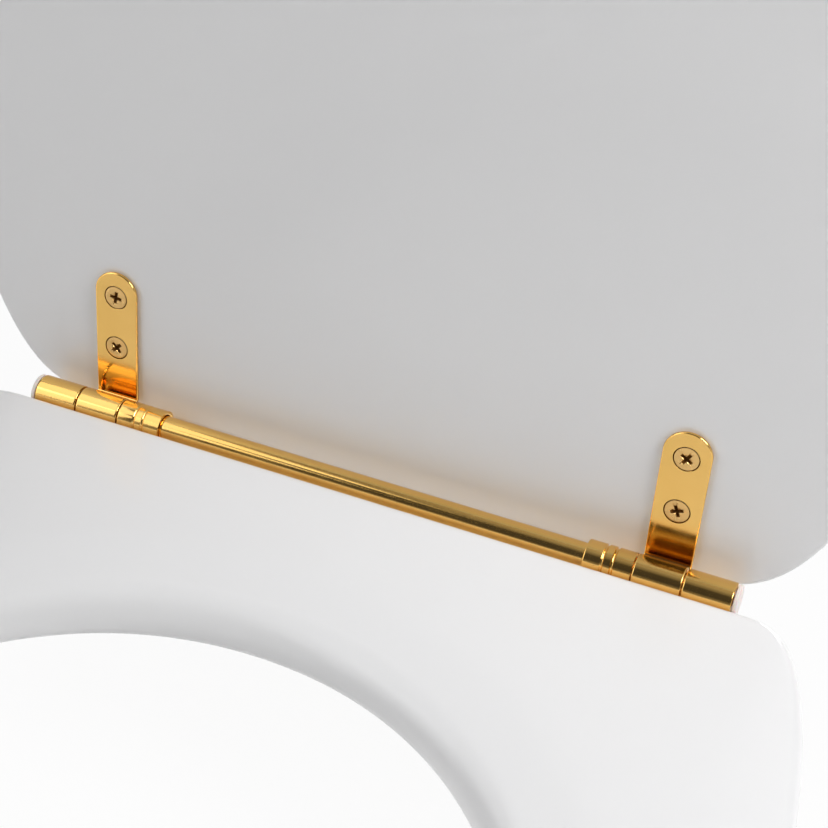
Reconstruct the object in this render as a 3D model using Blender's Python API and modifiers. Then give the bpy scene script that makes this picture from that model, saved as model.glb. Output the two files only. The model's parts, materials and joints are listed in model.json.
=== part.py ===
"""Toilet seat and lid on a two-post bar hinge, in metres.

X runs along the hinge, -Y is the front and +Z is up. The origin lies between the two posts, on the top
face of the pan that they are bolted to. The seat is down and the lid is open.
"""

import math

import bmesh
import bpy

# Driving dimensions: hinge
POST_SPACING = 0.155
AXIS_HEIGHT = 0.025
ROD_RADIUS = 0.004
SLEEVE_LENGTH = 0.0146
SIDE_GAP = 0.0004
RUNNING_GAP = 0.0003
SEATING_GAP = 0.0003
HEAD_WALL = 0.00115
GROOVE_WIDTH = 0.001
GROOVE_DEPTH = 0.0005
GROOVE_SPACING = 0.0031
PILLAR_RADIUS = 0.0045
FLANGE_RADIUS = 0.011
FLANGE_THICKNESS = 0.0025
GASKET_THICKNESS = 0.0015
CAP_THICKNESS = 0.0013
CAP_RADIUS = 0.0053
CAP_SPIGOT_RADIUS = 0.0017
CAP_SPIGOT_LENGTH = 0.005

# Driving dimensions: fixings through the pan
STUD_RADIUS = 0.003
STUD_DEPTH_IN_POST = 0.012
STUD_LENGTH = 0.06
STUD_CHAMFER = 0.0006
PAN_THICKNESS = 0.015
BUSH_RADIUS = 0.011
BUSH_THICKNESS = 0.004
BUSH_COLLAR_RADIUS = 0.006
BUSH_COLLAR_HEIGHT = 0.006
WASHER_RADIUS = 0.0095
WASHER_THICKNESS = 0.0015
NUT_HUB_RADIUS = 0.0058
NUT_HEIGHT = 0.009
NUT_TAPER = 0.85
WING_SPAN = 0.03
WING_HEIGHT = 0.01
WING_THICKNESS = 0.0028
WING_DROP = 0.006

# Driving dimensions: hinge leaves and their screws
LEAF_THICKNESS = 0.0012
LID_STRAP_REACH = 0.0452
LID_BEND_REACH = 0.003
LID_EYE_END = math.radians(415)
SEAT_STRAP_REACH = 0.05
SEAT_EYE_END = math.radians(308)
SCREW_HEAD_RADIUS = 0.00375
SCREW_HEAD_HEIGHT = 0.0021
SCREW_SHANK_RADIUS = 0.0016
SCREW_LENGTH = 0.012
SCREW_POINT = 0.003
SCREW_RIM = 0.0002
RECESS_WIDTH = 0.0009
RECESS_SPAN = 0.0036
RECESS_DEPTH = 0.0012
LID_SCREW_REACHES = {"upper": 0.0366, "lower": 0.0185}
SEAT_SCREW_REACHES = {"rear": 0.022, "front": 0.041}

# Driving dimensions: seat ring
SEAT_THICKNESS = 0.0168
SEAT_TOP_ABOVE_AXIS = 0.0029
SEAT_REAR_REACH = 0.0058
SEAT_FRONT_REACH = 0.402
SEAT_WIDEST_REACH = 0.195
SEAT_SHOULDER_HALF = 0.1418
SEAT_CORNER_WIDTH = 0.029
SEAT_FLARE = 0.016
SEAT_CORNER_POWER = 4.6
SEAT_FRONT_POWER = 2.25
SEAT_TOP_ROUNDING = 0.004
SEAT_BOTTOM_ROUNDING = 0.004
OPENING_CENTRE_REACH = 0.182
OPENING_POWER = 2.05
SIDE_RIM = 0.0528
REAR_RIM = 0.0638
FRONT_RIM = 0.068
DISH_SIDE_MARGIN = 0.029
DISH_REAR_MARGIN = 0.027
DISH_FRONT_MARGIN = 0.026
DISH_SLOPE = math.radians(8.5)
DISH_SHOULDER_SHARE = 0.38
LIP_RADIUS = 0.0095

# Driving dimensions: lid
LID_THICKNESS = 0.016
LID_UNDERSIDE_ABOVE_AXIS = 0.01
LID_REAR_REACH = -0.0036
LID_FRONT_OVERHANG = 0.002
LID_SIDE_OVERHANG = 0.0031
LID_CORNER_WIDTH = 0.0465
LID_CORNER_POWER = 3.28
LID_FRONT_POWER = 2.25
LID_BOTTOM_ROUNDING = 0.002
LID_TOP_ROUNDING = 0.006
LID_OPEN_ANGLE = math.radians(93)

# Driving dimensions: buffers, at turns from +X round the middle of the opening
SEAT_BUFFER_TURNS = {"rear": math.radians(33), "front": math.radians(-60)}
SEAT_BUFFER_RADIUS = 0.009
LID_BUFFER_TURNS = {"side": math.radians(-13), "front": math.radians(-76)}
LID_BUFFER_RADIUS = 0.007
LID_BUFFER_INSET = 0.0165
BUFFER_SPIGOT_RADIUS = 0.0025
BUFFER_SPIGOT_LENGTH = 0.006
BUFFER_ROUNDING = 0.001

# Cutters: how far each reaches past what it cuts
CUTTER_MARGIN = 0.001
CUTTER_REACH = 0.02
CUTTER_HALF_HEIGHT = 0.04

# Mesh resolution: a radian of turning counts for TURN_WEIGHT metres of outline
OUTLINE_POINTS = 80
OUTLINE_SAMPLES = 200
TURN_WEIGHT = 0.19
LIP_STEPS = 4
CAP_STEPS = 12
EYE_STEPS = 20
BEND_STEPS = 5
ROUND_STEPS = 24
SMALL_STEPS = 16
FILLET_STEPS = 3
MERGE_DISTANCE = 0.00001

# Derived sizes
SIDES = {"left": -1, "right": 1}
SLEEVE_PITCH = SLEEVE_LENGTH + SIDE_GAP
POST_X = POST_SPACING / 2
LID_LEAF_X = POST_X + SLEEVE_PITCH
SEAT_LEAF_X = POST_X + 2 * SLEEVE_PITCH
SLEEVE_END_X = SEAT_LEAF_X + SLEEVE_LENGTH / 2
BORE_RADIUS = ROD_RADIUS + RUNNING_GAP
HEAD_RADIUS = BORE_RADIUS + HEAD_WALL
EYE_RADIUS = BORE_RADIUS + LEAF_THICKNESS / 2
SEAT_TOP = SEAT_TOP_ABOVE_AXIS
SEAT_BOTTOM = SEAT_TOP - SEAT_THICKNESS
OPENING_HALF_WIDTH = SEAT_SHOULDER_HALF + SEAT_FLARE - SIDE_RIM
OPENING_REAR_LENGTH = OPENING_CENTRE_REACH - SEAT_REAR_REACH - REAR_RIM
OPENING_FRONT_LENGTH = SEAT_FRONT_REACH - FRONT_RIM - OPENING_CENTRE_REACH
LID_BOTTOM = LID_UNDERSIDE_ABOVE_AXIS
LID_TOP = LID_BOTTOM + LID_THICKNESS
FLANGE_BOTTOM = GASKET_THICKNESS + SEATING_GAP
STUD_TOP = FLANGE_BOTTOM + STUD_DEPTH_IN_POST
STUD_HOLE_RADIUS = STUD_RADIUS + SEATING_GAP
LID_STRAP_LEVEL = LID_BOTTOM - SEATING_GAP - LEAF_THICKNESS / 2
SEAT_STRAP_LEVEL = SEAT_BOTTOM - SEATING_GAP - LEAF_THICKNESS / 2


def clear_scene():
    for obj in list(bpy.data.objects):
        bpy.data.objects.remove(obj, do_unlink=True)


def new_collection(name, hidden=False):
    collection = bpy.data.collections.new(name)
    collection.hide_render = hidden
    bpy.context.scene.collection.children.link(collection)
    return collection


def new_material(name, colour, roughness, metallic):
    material = bpy.data.materials.new(name)
    material.use_nodes = True
    shader = material.node_tree.nodes["Principled BSDF"]
    shader.inputs["Base Color"].default_value = (*colour, 1)
    shader.inputs["Roughness"].default_value = roughness
    shader.inputs["Metallic"].default_value = metallic
    return material


clear_scene()
PARTS = new_collection("toilet_seat")
CUTTERS = new_collection("cutters", hidden=True)

FINISHES = {
    "white_lacquer": ((0.9, 0.9, 0.91), 0.12, 0.0),
    "polished_gold": ((0.86, 0.6, 0.2), 0.14, 1.0),
    "gold_screw": ((0.8, 0.56, 0.2), 0.25, 1.0),
    "pale_nylon": ((0.85, 0.78, 0.74), 0.45, 0.0),
    "soft_buffer": ((0.82, 0.82, 0.8), 0.4, 0.0),
    "dark_rubber": ((0.05, 0.05, 0.05), 0.7, 0.0),
    "zinc_steel": ((0.6, 0.61, 0.62), 0.35, 1.0),
}


def new_object(name, mesh, collection, parent=None, finish=None):
    obj = bpy.data.objects.new(name, mesh)
    collection.objects.link(obj)
    obj.parent = parent
    if finish:
        material = bpy.data.materials.get(name) or new_material(name, *FINISHES[finish])
        mesh.materials.append(material)
    return obj


def mesh_from_bmesh(name, bm):
    bmesh.ops.recalc_face_normals(bm, faces=bm.faces)
    mesh = bpy.data.meshes.new(name)
    bm.to_mesh(mesh)
    bm.free()
    return mesh


def smooth(obj, angle=math.radians(35)):
    obj.data.shade_smooth()
    obj.data.set_sharp_from_angle(angle=angle)


def new_axis(name, location, angle=0.0, parent=None):
    """An empty whose X axis is a turning axis."""
    empty = bpy.data.objects.new(name, None)
    empty.location = location
    empty.rotation_euler = (angle, 0, 0)
    empty.parent = parent
    empty.empty_display_size = 0.02
    PARTS.objects.link(empty)
    return empty


def turned(name, profile, steps, collection, parent=None, finish=None, closed=False):
    """A profile of (radius, height) points, run from the top down its outer side, turned about local Z."""
    mesh = bpy.data.meshes.new(name)
    edges = [(i, i + 1) for i in range(len(profile) - 1)]
    if closed:
        edges.append((len(profile) - 1, 0))
    mesh.from_pydata([(radius, 0, height) for radius, height in profile], edges, [])
    obj = new_object(name, mesh, collection, parent, finish)
    screw = obj.modifiers.new("turn", "SCREW")
    screw.steps = screw.render_steps = steps
    screw.use_merge_vertices = True
    screw.merge_threshold = MERGE_DISTANCE
    return obj


def cut(obj, cutter, operation="DIFFERENCE"):
    """A Boolean with a cutter, which is kept hidden beside the part."""
    cutter.display_type = "WIRE"
    cutter.hide_render = True
    modifier = obj.modifiers.new(cutter.name, "BOOLEAN")
    modifier.operation = operation
    modifier.solver = "EXACT"
    modifier.object = cutter


def cylinder_cutter(name, radius, low, high, parent=None, location=(0, 0, 0), along_x=False):
    bm = bmesh.new()
    bmesh.ops.create_cone(
        bm, cap_ends=True, segments=SMALL_STEPS, radius1=radius, radius2=radius, depth=high - low
    )
    bmesh.ops.translate(bm, verts=bm.verts, vec=(0, 0, (low + high) / 2))
    cutter = new_object(name, mesh_from_bmesh(name, bm), CUTTERS, parent)
    cutter.location = location
    if along_x:
        cutter.rotation_euler = (0, math.pi / 2, 0)
    return cutter


def box(name, size, centre, collection, parent=None, location=(0, 0, 0)):
    bm = bmesh.new()
    bmesh.ops.create_cube(bm, size=1)
    bmesh.ops.scale(bm, verts=bm.verts, vec=size)
    bmesh.ops.translate(bm, verts=bm.verts, vec=centre)
    obj = new_object(name, mesh_from_bmesh(name, bm), collection, parent)
    obj.location = location
    return obj


def board_outline(shoulder, corner_width, flare, corner_power, front_power, rear, widest, front):
    """Half of a board's outline as dense (x, y) points, from the middle of its rear edge to its front."""
    straight = shoulder - corner_width
    points = [(straight * i / OUTLINE_SAMPLES, -rear) for i in range(OUTLINE_SAMPLES)]
    rear_length = widest - rear
    for i in range(OUTLINE_SAMPLES + 1):
        turn = math.pi / 2 * (1 - i / OUTLINE_SAMPLES)
        along = math.sin(turn) ** (2 / corner_power)
        corner = corner_width * math.cos(turn) ** (2 / corner_power)
        x = straight + corner + flare * (1 - along**2)
        points.append((x, -widest + rear_length * along))
    half_width = shoulder + flare
    for i in range(1, OUTLINE_SAMPLES + 1):
        turn = math.pi / 2 * i / OUTLINE_SAMPLES
        x = half_width * math.cos(turn) ** (2 / front_power)
        y = -widest - (front - widest) * math.sin(turn) ** (2 / front_power)
        points.append((max(x, 0), y))
    return points


def spread_along(half, count):
    """A closed symmetric loop of count points, closer together where the outline turns more."""
    weights = [0.0]
    heading = None
    for (x0, y0), (x1, y1) in zip(half, half[1:]):
        step = math.hypot(x1 - x0, y1 - y0)
        turn = 0.0
        if step > 0:
            new_heading = math.atan2(y1 - y0, x1 - x0)
            if heading is not None:
                turn = abs(new_heading - heading)
            heading = new_heading
        weights.append(weights[-1] + step + turn * TURN_WEIGHT)
    side = []
    index = 0
    for i in range(count // 2 + 1):
        target = weights[-1] * i / (count // 2)
        while index < len(weights) - 2 and weights[index + 1] < target:
            index += 1
        span = weights[index + 1] - weights[index]
        share = (target - weights[index]) / span if span > 0 else 0
        (x0, y0), (x1, y1) = half[index], half[index + 1]
        side.append((x0 + (x1 - x0) * share, y0 + (y1 - y0) * share))
    side[0] = (0.0, half[0][1])
    side[-1] = (0.0, half[-1][1])
    return side + [(-x, y) for x, y in reversed(side[1:-1])]


def inward_normals(loop):
    """Unit normals towards the inside of a loop that runs clockwise as seen from above."""
    normals = []
    for i in range(len(loop)):
        x0, y0 = loop[i - 1]
        x1, y1 = loop[(i + 1) % len(loop)]
        length = math.hypot(x1 - x0, y1 - y0)
        normals.append(((y1 - y0) / length, -(x1 - x0) / length))
    return normals


def offset(loop, distance):
    """The loop moved inwards by the distance."""
    normals = inward_normals(loop)
    return [(x + nx * distance, y + ny * distance) for (x, y), (nx, ny) in zip(loop, normals)]


def oval(angles, centre_reach, half_width, rear_length, front_length, power):
    """A superellipse with unlike rear and front halves, at the given angles round its centre."""
    loop = []
    for angle in angles:
        length = rear_length if math.sin(angle) >= 0 else front_length
        across = abs(math.cos(angle) / half_width) ** power
        along = abs(math.sin(angle) / length) ** power
        radius = (across + along) ** (-1 / power)
        loop.append((radius * math.cos(angle), radius * math.sin(angle) - centre_reach))
    return loop


def between(loop_a, loop_b, share):
    return [
        (xa + (xb - xa) * share, ya + (yb - ya) * share)
        for (xa, ya), (xb, yb) in zip(loop_a, loop_b)
    ]


def loft(bm, sections, close_round):
    """Skin between loops of equal count, each given as ((x, y) points, heights)."""
    rows = []
    for loop, heights in sections:
        if not isinstance(heights, list):
            heights = [heights] * len(loop)
        rows.append([bm.verts.new((x, y, z)) for (x, y), z in zip(loop, heights)])
    pairs = list(zip(rows, rows[1:]))
    if close_round:
        pairs.append((rows[-1], rows[0]))
    for row_a, row_b in pairs:
        for i in range(len(row_a)):
            j = (i + 1) % len(row_a)
            bm.faces.new((row_a[i], row_a[j], row_b[j], row_b[i]))
    return rows


def fillet(steps):
    """(inset share, drop share) of a quarter round, from its start on the side to its end on the flat."""
    turns = [math.pi / 2 * i / steps for i in range(steps + 1)]
    return [(1 - math.cos(turn), 1 - math.sin(turn)) for turn in turns]


def seat_loops():
    """The seat's outer edge, its opening and the start of its dish, point by point at equal turns."""
    half = board_outline(
        SEAT_SHOULDER_HALF,
        SEAT_CORNER_WIDTH,
        SEAT_FLARE,
        SEAT_CORNER_POWER,
        SEAT_FRONT_POWER,
        SEAT_REAR_REACH,
        SEAT_WIDEST_REACH,
        SEAT_FRONT_REACH,
    )
    outer = spread_along(half, OUTLINE_POINTS)
    angles = [math.atan2(y + OPENING_CENTRE_REACH, x) for x, y in outer]
    inner = oval(
        angles,
        OPENING_CENTRE_REACH,
        OPENING_HALF_WIDTH,
        OPENING_REAR_LENGTH,
        OPENING_FRONT_LENGTH,
        OPENING_POWER,
    )
    dish = oval(
        angles,
        OPENING_CENTRE_REACH,
        OPENING_HALF_WIDTH + DISH_SIDE_MARGIN,
        OPENING_REAR_LENGTH + DISH_REAR_MARGIN,
        OPENING_FRONT_LENGTH + DISH_FRONT_MARGIN,
        OPENING_POWER,
    )
    return outer, inner, dish


def lid_loop():
    """The lid's edge, which follows the seat's and hangs over it a little."""
    half = board_outline(
        SEAT_SHOULDER_HALF + LID_SIDE_OVERHANG,
        LID_CORNER_WIDTH,
        SEAT_FLARE,
        LID_CORNER_POWER,
        LID_FRONT_POWER,
        LID_REAR_REACH,
        SEAT_WIDEST_REACH,
        SEAT_FRONT_REACH + LID_FRONT_OVERHANG,
    )
    return spread_along(half, OUTLINE_POINTS)


def place_at(loop, turn):
    """The point of a loop that lies nearest to a direction from the middle of the opening."""
    turns = [math.atan2(y + OPENING_CENTRE_REACH, x) for x, y in loop]
    return min(zip(turns, loop), key=lambda pair: abs(pair[0] - turn))[1]


def dish_fall(share):
    """How far down the dish is at a share of its width, where 1 is a straight slope's whole fall."""
    if share < DISH_SHOULDER_SHARE:
        return share**2 / (2 * DISH_SHOULDER_SHARE)
    return share - DISH_SHOULDER_SHARE / 2


def seat_ring(parent):
    outer, inner, dish = seat_loops()
    lip = offset(inner, -LIP_RADIUS * (1 - math.sin(DISH_SLOPE)))
    falls = [
        math.hypot(xd - xl, yd - yl) * math.tan(DISH_SLOPE)
        for (xd, yd), (xl, yl) in zip(dish, lip)
    ]
    lip_drop = LIP_RADIUS * math.cos(DISH_SLOPE)
    lip_centres = [SEAT_TOP - fall * dish_fall(1) - lip_drop for fall in falls]
    sections = []
    for inset, drop in reversed(fillet(FILLET_STEPS)):
        level = SEAT_BOTTOM + SEAT_BOTTOM_ROUNDING * drop
        sections.append((offset(outer, SEAT_BOTTOM_ROUNDING * inset), level))
    for inset, drop in fillet(FILLET_STEPS):
        level = SEAT_TOP - SEAT_TOP_ROUNDING * drop
        sections.append((offset(outer, SEAT_TOP_ROUNDING * inset), level))
    for share in (0, DISH_SHOULDER_SHARE / 2, DISH_SHOULDER_SHARE, 1):
        heights = [SEAT_TOP - fall * dish_fall(share) for fall in falls]
        sections.append((between(dish, lip, share), heights))
    for step in range(1, LIP_STEPS + 1):
        turn = DISH_SLOPE + (math.pi / 2 - DISH_SLOPE) * step / LIP_STEPS
        heights = [centre + LIP_RADIUS * math.cos(turn) for centre in lip_centres]
        sections.append((offset(inner, -LIP_RADIUS * (1 - math.sin(turn))), heights))
    for inset, drop in fillet(FILLET_STEPS):
        level = SEAT_BOTTOM + SEAT_BOTTOM_ROUNDING * drop
        sections.append((offset(inner, -SEAT_BOTTOM_ROUNDING * inset), level))
    bm = bmesh.new()
    loft(bm, sections, close_round=True)
    mesh = mesh_from_bmesh("seat_ring", bm)
    return new_object("seat_ring", mesh, PARTS, parent, "white_lacquer")


def lid_board(parent):
    outer = lid_loop()
    sections = []
    for inset, drop in reversed(fillet(FILLET_STEPS)):
        level = LID_BOTTOM + LID_BOTTOM_ROUNDING * drop
        sections.append((offset(outer, LID_BOTTOM_ROUNDING * inset), level))
    for inset, drop in fillet(FILLET_STEPS + 1):
        level = LID_TOP - LID_TOP_ROUNDING * drop
        sections.append((offset(outer, LID_TOP_ROUNDING * inset), level))
    bm = bmesh.new()
    rows = loft(bm, sections, close_round=False)
    bm.faces.new(rows[0])
    bm.faces.new(rows[-1])
    mesh = mesh_from_bmesh("lid_board", bm)
    return new_object("lid_board", mesh, PARTS, parent, "white_lacquer")


def arc(centre, radius, start, end, steps):
    """Points of an arc, each with its outward normal."""
    points = []
    for i in range(steps + 1):
        turn = start + (end - start) * i / steps
        normal = (math.cos(turn), math.sin(turn))
        points.append(((centre[0] + radius * normal[0], centre[1] + radius * normal[1]), normal))
    return points


def leaf(name, centre_line, reach, x, parent):
    """A strap of sheet that follows its centre line of (reach, height) points, with a round free end."""
    half = LEAF_THICKNESS / 2
    front = [(s + ns * half, t + nt * half) for (s, t), (ns, nt) in centre_line]
    back = [(s - ns * half, t - nt * half) for (s, t), (ns, nt) in centre_line]
    section = front + list(reversed(back))
    bm = bmesh.new()
    rows = []
    for side in (-SLEEVE_LENGTH / 2, SLEEVE_LENGTH / 2):
        rows.append([bm.verts.new((side, -s, t)) for s, t in section])
    for i in range(len(section)):
        j = (i + 1) % len(section)
        bm.faces.new((rows[0][i], rows[0][j], rows[1][j], rows[1][i]))
    bm.faces.new(rows[0])
    bm.faces.new(rows[1])
    strap = new_object(name, mesh_from_bmesh(name, bm), PARTS, parent, "polished_gold")
    strap.location = (x, 0, 0)
    cut(strap, round_end_cutter(name + "_end", reach, x, parent), "INTERSECT")
    return strap


def round_end_cutter(name, reach, centre_x, parent):
    """A tall prism just wider than the strap, with a half-round free end and its other end past the eye."""
    radius = SLEEVE_LENGTH / 2
    side = radius + CUTTER_MARGIN
    shoulder = radius - reach
    outline = [(side, CUTTER_REACH), (side, shoulder), (radius, shoulder)]
    for i in range(1, CAP_STEPS):
        turn = math.pi * i / CAP_STEPS
        outline.append((radius * math.cos(turn), shoulder - radius * math.sin(turn)))
    outline += [(-radius, shoulder), (-side, shoulder), (-side, CUTTER_REACH)]
    bm = bmesh.new()
    levels = (-CUTTER_HALF_HEIGHT, CUTTER_HALF_HEIGHT)
    rows = [[bm.verts.new((x, y, z)) for x, y in outline] for z in levels]
    for i in range(len(outline)):
        j = (i + 1) % len(outline)
        bm.faces.new((rows[0][i], rows[0][j], rows[1][j], rows[1][i]))
    bm.faces.new(rows[0])
    bm.faces.new(rows[1])
    cutter = new_object(name, mesh_from_bmesh(name, bm), CUTTERS, parent)
    cutter.location = (centre_x, 0, 0)
    return cutter


def lid_centre_line():
    """Flat under the lid, cranked down to the rod's far side, then rolled round the rod."""
    reach = math.hypot(LID_BEND_REACH, LID_STRAP_LEVEL)
    climb = math.atan2(LID_STRAP_LEVEL, LID_BEND_REACH)
    slope = climb + math.acos(EYE_RADIUS / reach) - math.pi / 2
    bend_normal = (-math.sin(slope / 2), math.cos(slope / 2))
    line = [((LID_STRAP_REACH, LID_STRAP_LEVEL), (0, 1))]
    line.append(((LID_BEND_REACH, LID_STRAP_LEVEL), bend_normal))
    return line + arc((0, 0), EYE_RADIUS, math.pi / 2 + slope, LID_EYE_END, EYE_STEPS)


def seat_centre_line():
    """Flat under the seat, bent up its rear edge, then rolled round the rod."""
    bend = SEAT_BOTTOM_ROUNDING + SEATING_GAP + LEAF_THICKNESS / 2
    bend_centre = (EYE_RADIUS + bend, SEAT_STRAP_LEVEL + bend)
    line = [((SEAT_STRAP_REACH, SEAT_STRAP_LEVEL), (0, 1))]
    bend_line = arc(bend_centre, bend, math.pi * 3 / 2, math.pi, BEND_STEPS)
    line += [(point, (-ns, -nt)) for point, (ns, nt) in bend_line]
    return line + arc((0, 0), EYE_RADIUS, 0, SEAT_EYE_END, EYE_STEPS)


def screw_profile():
    """Countersunk screw with the flat of its head at the bottom."""
    return [
        (0, SCREW_LENGTH),
        (SCREW_SHANK_RADIUS, SCREW_LENGTH - SCREW_POINT),
        (SCREW_SHANK_RADIUS, SCREW_HEAD_HEIGHT),
        (SCREW_HEAD_RADIUS, SCREW_RIM),
        (SCREW_HEAD_RADIUS - SCREW_RIM, 0),
        (0, 0),
    ]


def screw_hole_profile():
    """The screw's hole, a seating gap larger all round and open past the strap's face."""
    shank = SCREW_SHANK_RADIUS + SEATING_GAP
    head = SCREW_HEAD_RADIUS + SEATING_GAP
    return [
        (0, SCREW_LENGTH + SEATING_GAP),
        (shank, SCREW_LENGTH - SCREW_POINT + SEATING_GAP),
        (shank, SCREW_HEAD_HEIGHT + SEATING_GAP),
        (head, SEATING_GAP),
        (head, -CUTTER_MARGIN),
        (0, -CUTTER_MARGIN),
    ]


def screw_mesh():
    """One screw with its cross recess, as a mesh that every screw shares."""
    template = turned("screw", screw_profile(), SMALL_STEPS, CUTTERS, finish="gold_screw")
    for name, size in (
        ("recess_a", (RECESS_SPAN, RECESS_WIDTH, 2 * RECESS_DEPTH)),
        ("recess_b", (RECESS_WIDTH, RECESS_SPAN, 2 * RECESS_DEPTH)),
    ):
        cut(template, box(name, size, (0, 0, 0), CUTTERS))
    bpy.context.view_layer.update()
    evaluated = template.evaluated_get(bpy.context.evaluated_depsgraph_get())
    mesh = bpy.data.meshes.new_from_object(evaluated)
    for obj in [template, bpy.data.objects["recess_a"], bpy.data.objects["recess_b"]]:
        bpy.data.objects.remove(obj, do_unlink=True)
    return mesh


def fit_screws(board, strap, prefix, reaches, x, level, mesh, parent):
    """Screws through a strap into a board, with their holes in both."""
    for place, reach in reaches.items():
        name = f"{prefix}_{place}"
        head = (x, -reach, level - LEAF_THICKNESS / 2)
        screw = new_object(name, mesh, PARTS, parent)
        screw.location = head
        hole = turned(name + "_hole", screw_hole_profile(), SMALL_STEPS, CUTTERS, parent)
        hole.location = head
        cut(strap, hole)
        cut(board, hole)


def fit_buffers(board, loop, turns, radius, level, height, prefix, parent):
    """Push-in buffers on the underside of a board, on a loop at the given turns and mirrored."""
    profile = [
        (0, BUFFER_SPIGOT_LENGTH),
        (BUFFER_SPIGOT_RADIUS, BUFFER_SPIGOT_LENGTH),
        (BUFFER_SPIGOT_RADIUS, 0),
        (radius, 0),
        (radius, -height + BUFFER_ROUNDING),
        (radius - BUFFER_ROUNDING, -height),
        (0, -height),
    ]
    for place, turn in turns.items():
        half_spacing, y = place_at(loop, turn)
        for side_name, side in SIDES.items():
            name = f"{prefix}_buffer_{place}_{side_name}"
            x = side * half_spacing
            buffer = turned(name, profile, SMALL_STEPS, PARTS, parent, "soft_buffer")
            buffer.location = (x, y, level - SEATING_GAP)
            hole = cylinder_cutter(
                name + "_hole",
                BUFFER_SPIGOT_RADIUS + SEATING_GAP,
                -CUTTER_MARGIN,
                BUFFER_SPIGOT_LENGTH + SEATING_GAP,
                parent,
                (x, y, level),
            )
            cut(board, hole)


def hinge_rod(parent):
    """Plain rod with a blind hole in each end for the cap's spigot."""
    half = SLEEVE_END_X - RUNNING_GAP
    chamfer = ROD_RADIUS / 10
    hole = CAP_SPIGOT_RADIUS + SEATING_GAP
    depth = CAP_SPIGOT_LENGTH + 2 * SEATING_GAP
    end = [
        (0, half - depth),
        (hole, half - depth),
        (hole, half),
        (ROD_RADIUS - chamfer, half),
        (ROD_RADIUS, half - chamfer),
    ]
    profile = end + [(radius, -height) for radius, height in reversed(end)]
    rod = turned("hinge_rod", profile, ROUND_STEPS, PARTS, parent, "polished_gold")
    rod.rotation_euler = (0, math.pi / 2, 0)


def end_cap(side_name, side, parent):
    """Round nylon cap that closes the outer sleeve, pressed into the rod's end."""
    chamfer = CAP_THICKNESS / 4
    profile = [
        (0, CAP_THICKNESS),
        (CAP_RADIUS - chamfer, CAP_THICKNESS),
        (CAP_RADIUS, CAP_THICKNESS - chamfer),
        (CAP_RADIUS, 0),
        (CAP_SPIGOT_RADIUS, 0),
        (CAP_SPIGOT_RADIUS, -CAP_SPIGOT_LENGTH),
        (0, -CAP_SPIGOT_LENGTH),
    ]
    cap = turned(f"end_cap_{side_name}", profile, ROUND_STEPS, PARTS, parent, "pale_nylon")
    cap.location = (side * (SLEEVE_END_X + SEATING_GAP), 0, 0)
    cap.rotation_euler = (0, side * math.pi / 2, 0)


def head_profile():
    """Grooved sleeve that holds the rod, as a profile along the rod."""
    half = SLEEVE_LENGTH / 2
    chamfer = HEAD_WALL / 4
    profile = [(0, half), (HEAD_RADIUS - chamfer, half), (HEAD_RADIUS, half - chamfer)]
    for centre in (GROOVE_SPACING / 2, -GROOVE_SPACING / 2):
        profile.append((HEAD_RADIUS, centre + GROOVE_WIDTH / 2))
        profile.append((HEAD_RADIUS - GROOVE_DEPTH, centre))
        profile.append((HEAD_RADIUS, centre - GROOVE_WIDTH / 2))
    profile.append((HEAD_RADIUS, -half + chamfer))
    return profile + [(HEAD_RADIUS - chamfer, -half), (0, -half)]


def post(side_name, side, axis):
    """Turned pillar with a foot flange and a grooved head, bored for the rod and the stud."""
    x = side * POST_X
    flange_top = FLANGE_BOTTOM + FLANGE_THICKNESS
    rim = FLANGE_THICKNESS / 4
    cove = FLANGE_THICKNESS / 2
    profile = [
        (0, AXIS_HEIGHT),
        (PILLAR_RADIUS, AXIS_HEIGHT),
        (PILLAR_RADIUS, flange_top + cove),
        (PILLAR_RADIUS + cove, flange_top),
        (FLANGE_RADIUS - rim, flange_top),
        (FLANGE_RADIUS, flange_top - rim),
        (FLANGE_RADIUS, FLANGE_BOTTOM),
        (0, FLANGE_BOTTOM),
    ]
    pillar = turned(f"post_{side_name}", profile, ROUND_STEPS, PARTS, None, "polished_gold")
    pillar.location = (x, 0, 0)
    head = turned(f"post_head_{side_name}", head_profile(), ROUND_STEPS, CUTTERS, axis)
    head.location = (x, 0, 0)
    head.rotation_euler = (0, math.pi / 2, 0)
    cut(pillar, head, "UNION")
    bore = cylinder_cutter(
        f"rod_bore_{side_name}", BORE_RADIUS, -CUTTER_REACH, CUTTER_REACH, axis, (x, 0, 0), along_x=True
    )
    cut(pillar, bore)
    stud_hole = cylinder_cutter(
        f"stud_hole_{side_name}", STUD_HOLE_RADIUS, -CUTTER_MARGIN, STUD_TOP + SEATING_GAP
    )
    stud_hole.location.x = x
    cut(pillar, stud_hole)


def ring(name, x, outer, top, bottom, finish, collar=None):
    """A washer round the stud, with an optional (radius, height) collar standing on it."""
    inner = STUD_HOLE_RADIUS
    profile = [(outer, top), (outer, bottom), (inner, bottom), (inner, top)]
    if collar:
        collar_radius, collar_height = collar
        profile[3] = (inner, top + collar_height)
        profile += [(collar_radius, top + collar_height), (collar_radius, top)]
    washer = turned(name, profile, ROUND_STEPS, PARTS, None, finish, closed=True)
    washer.location.x = x


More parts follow.
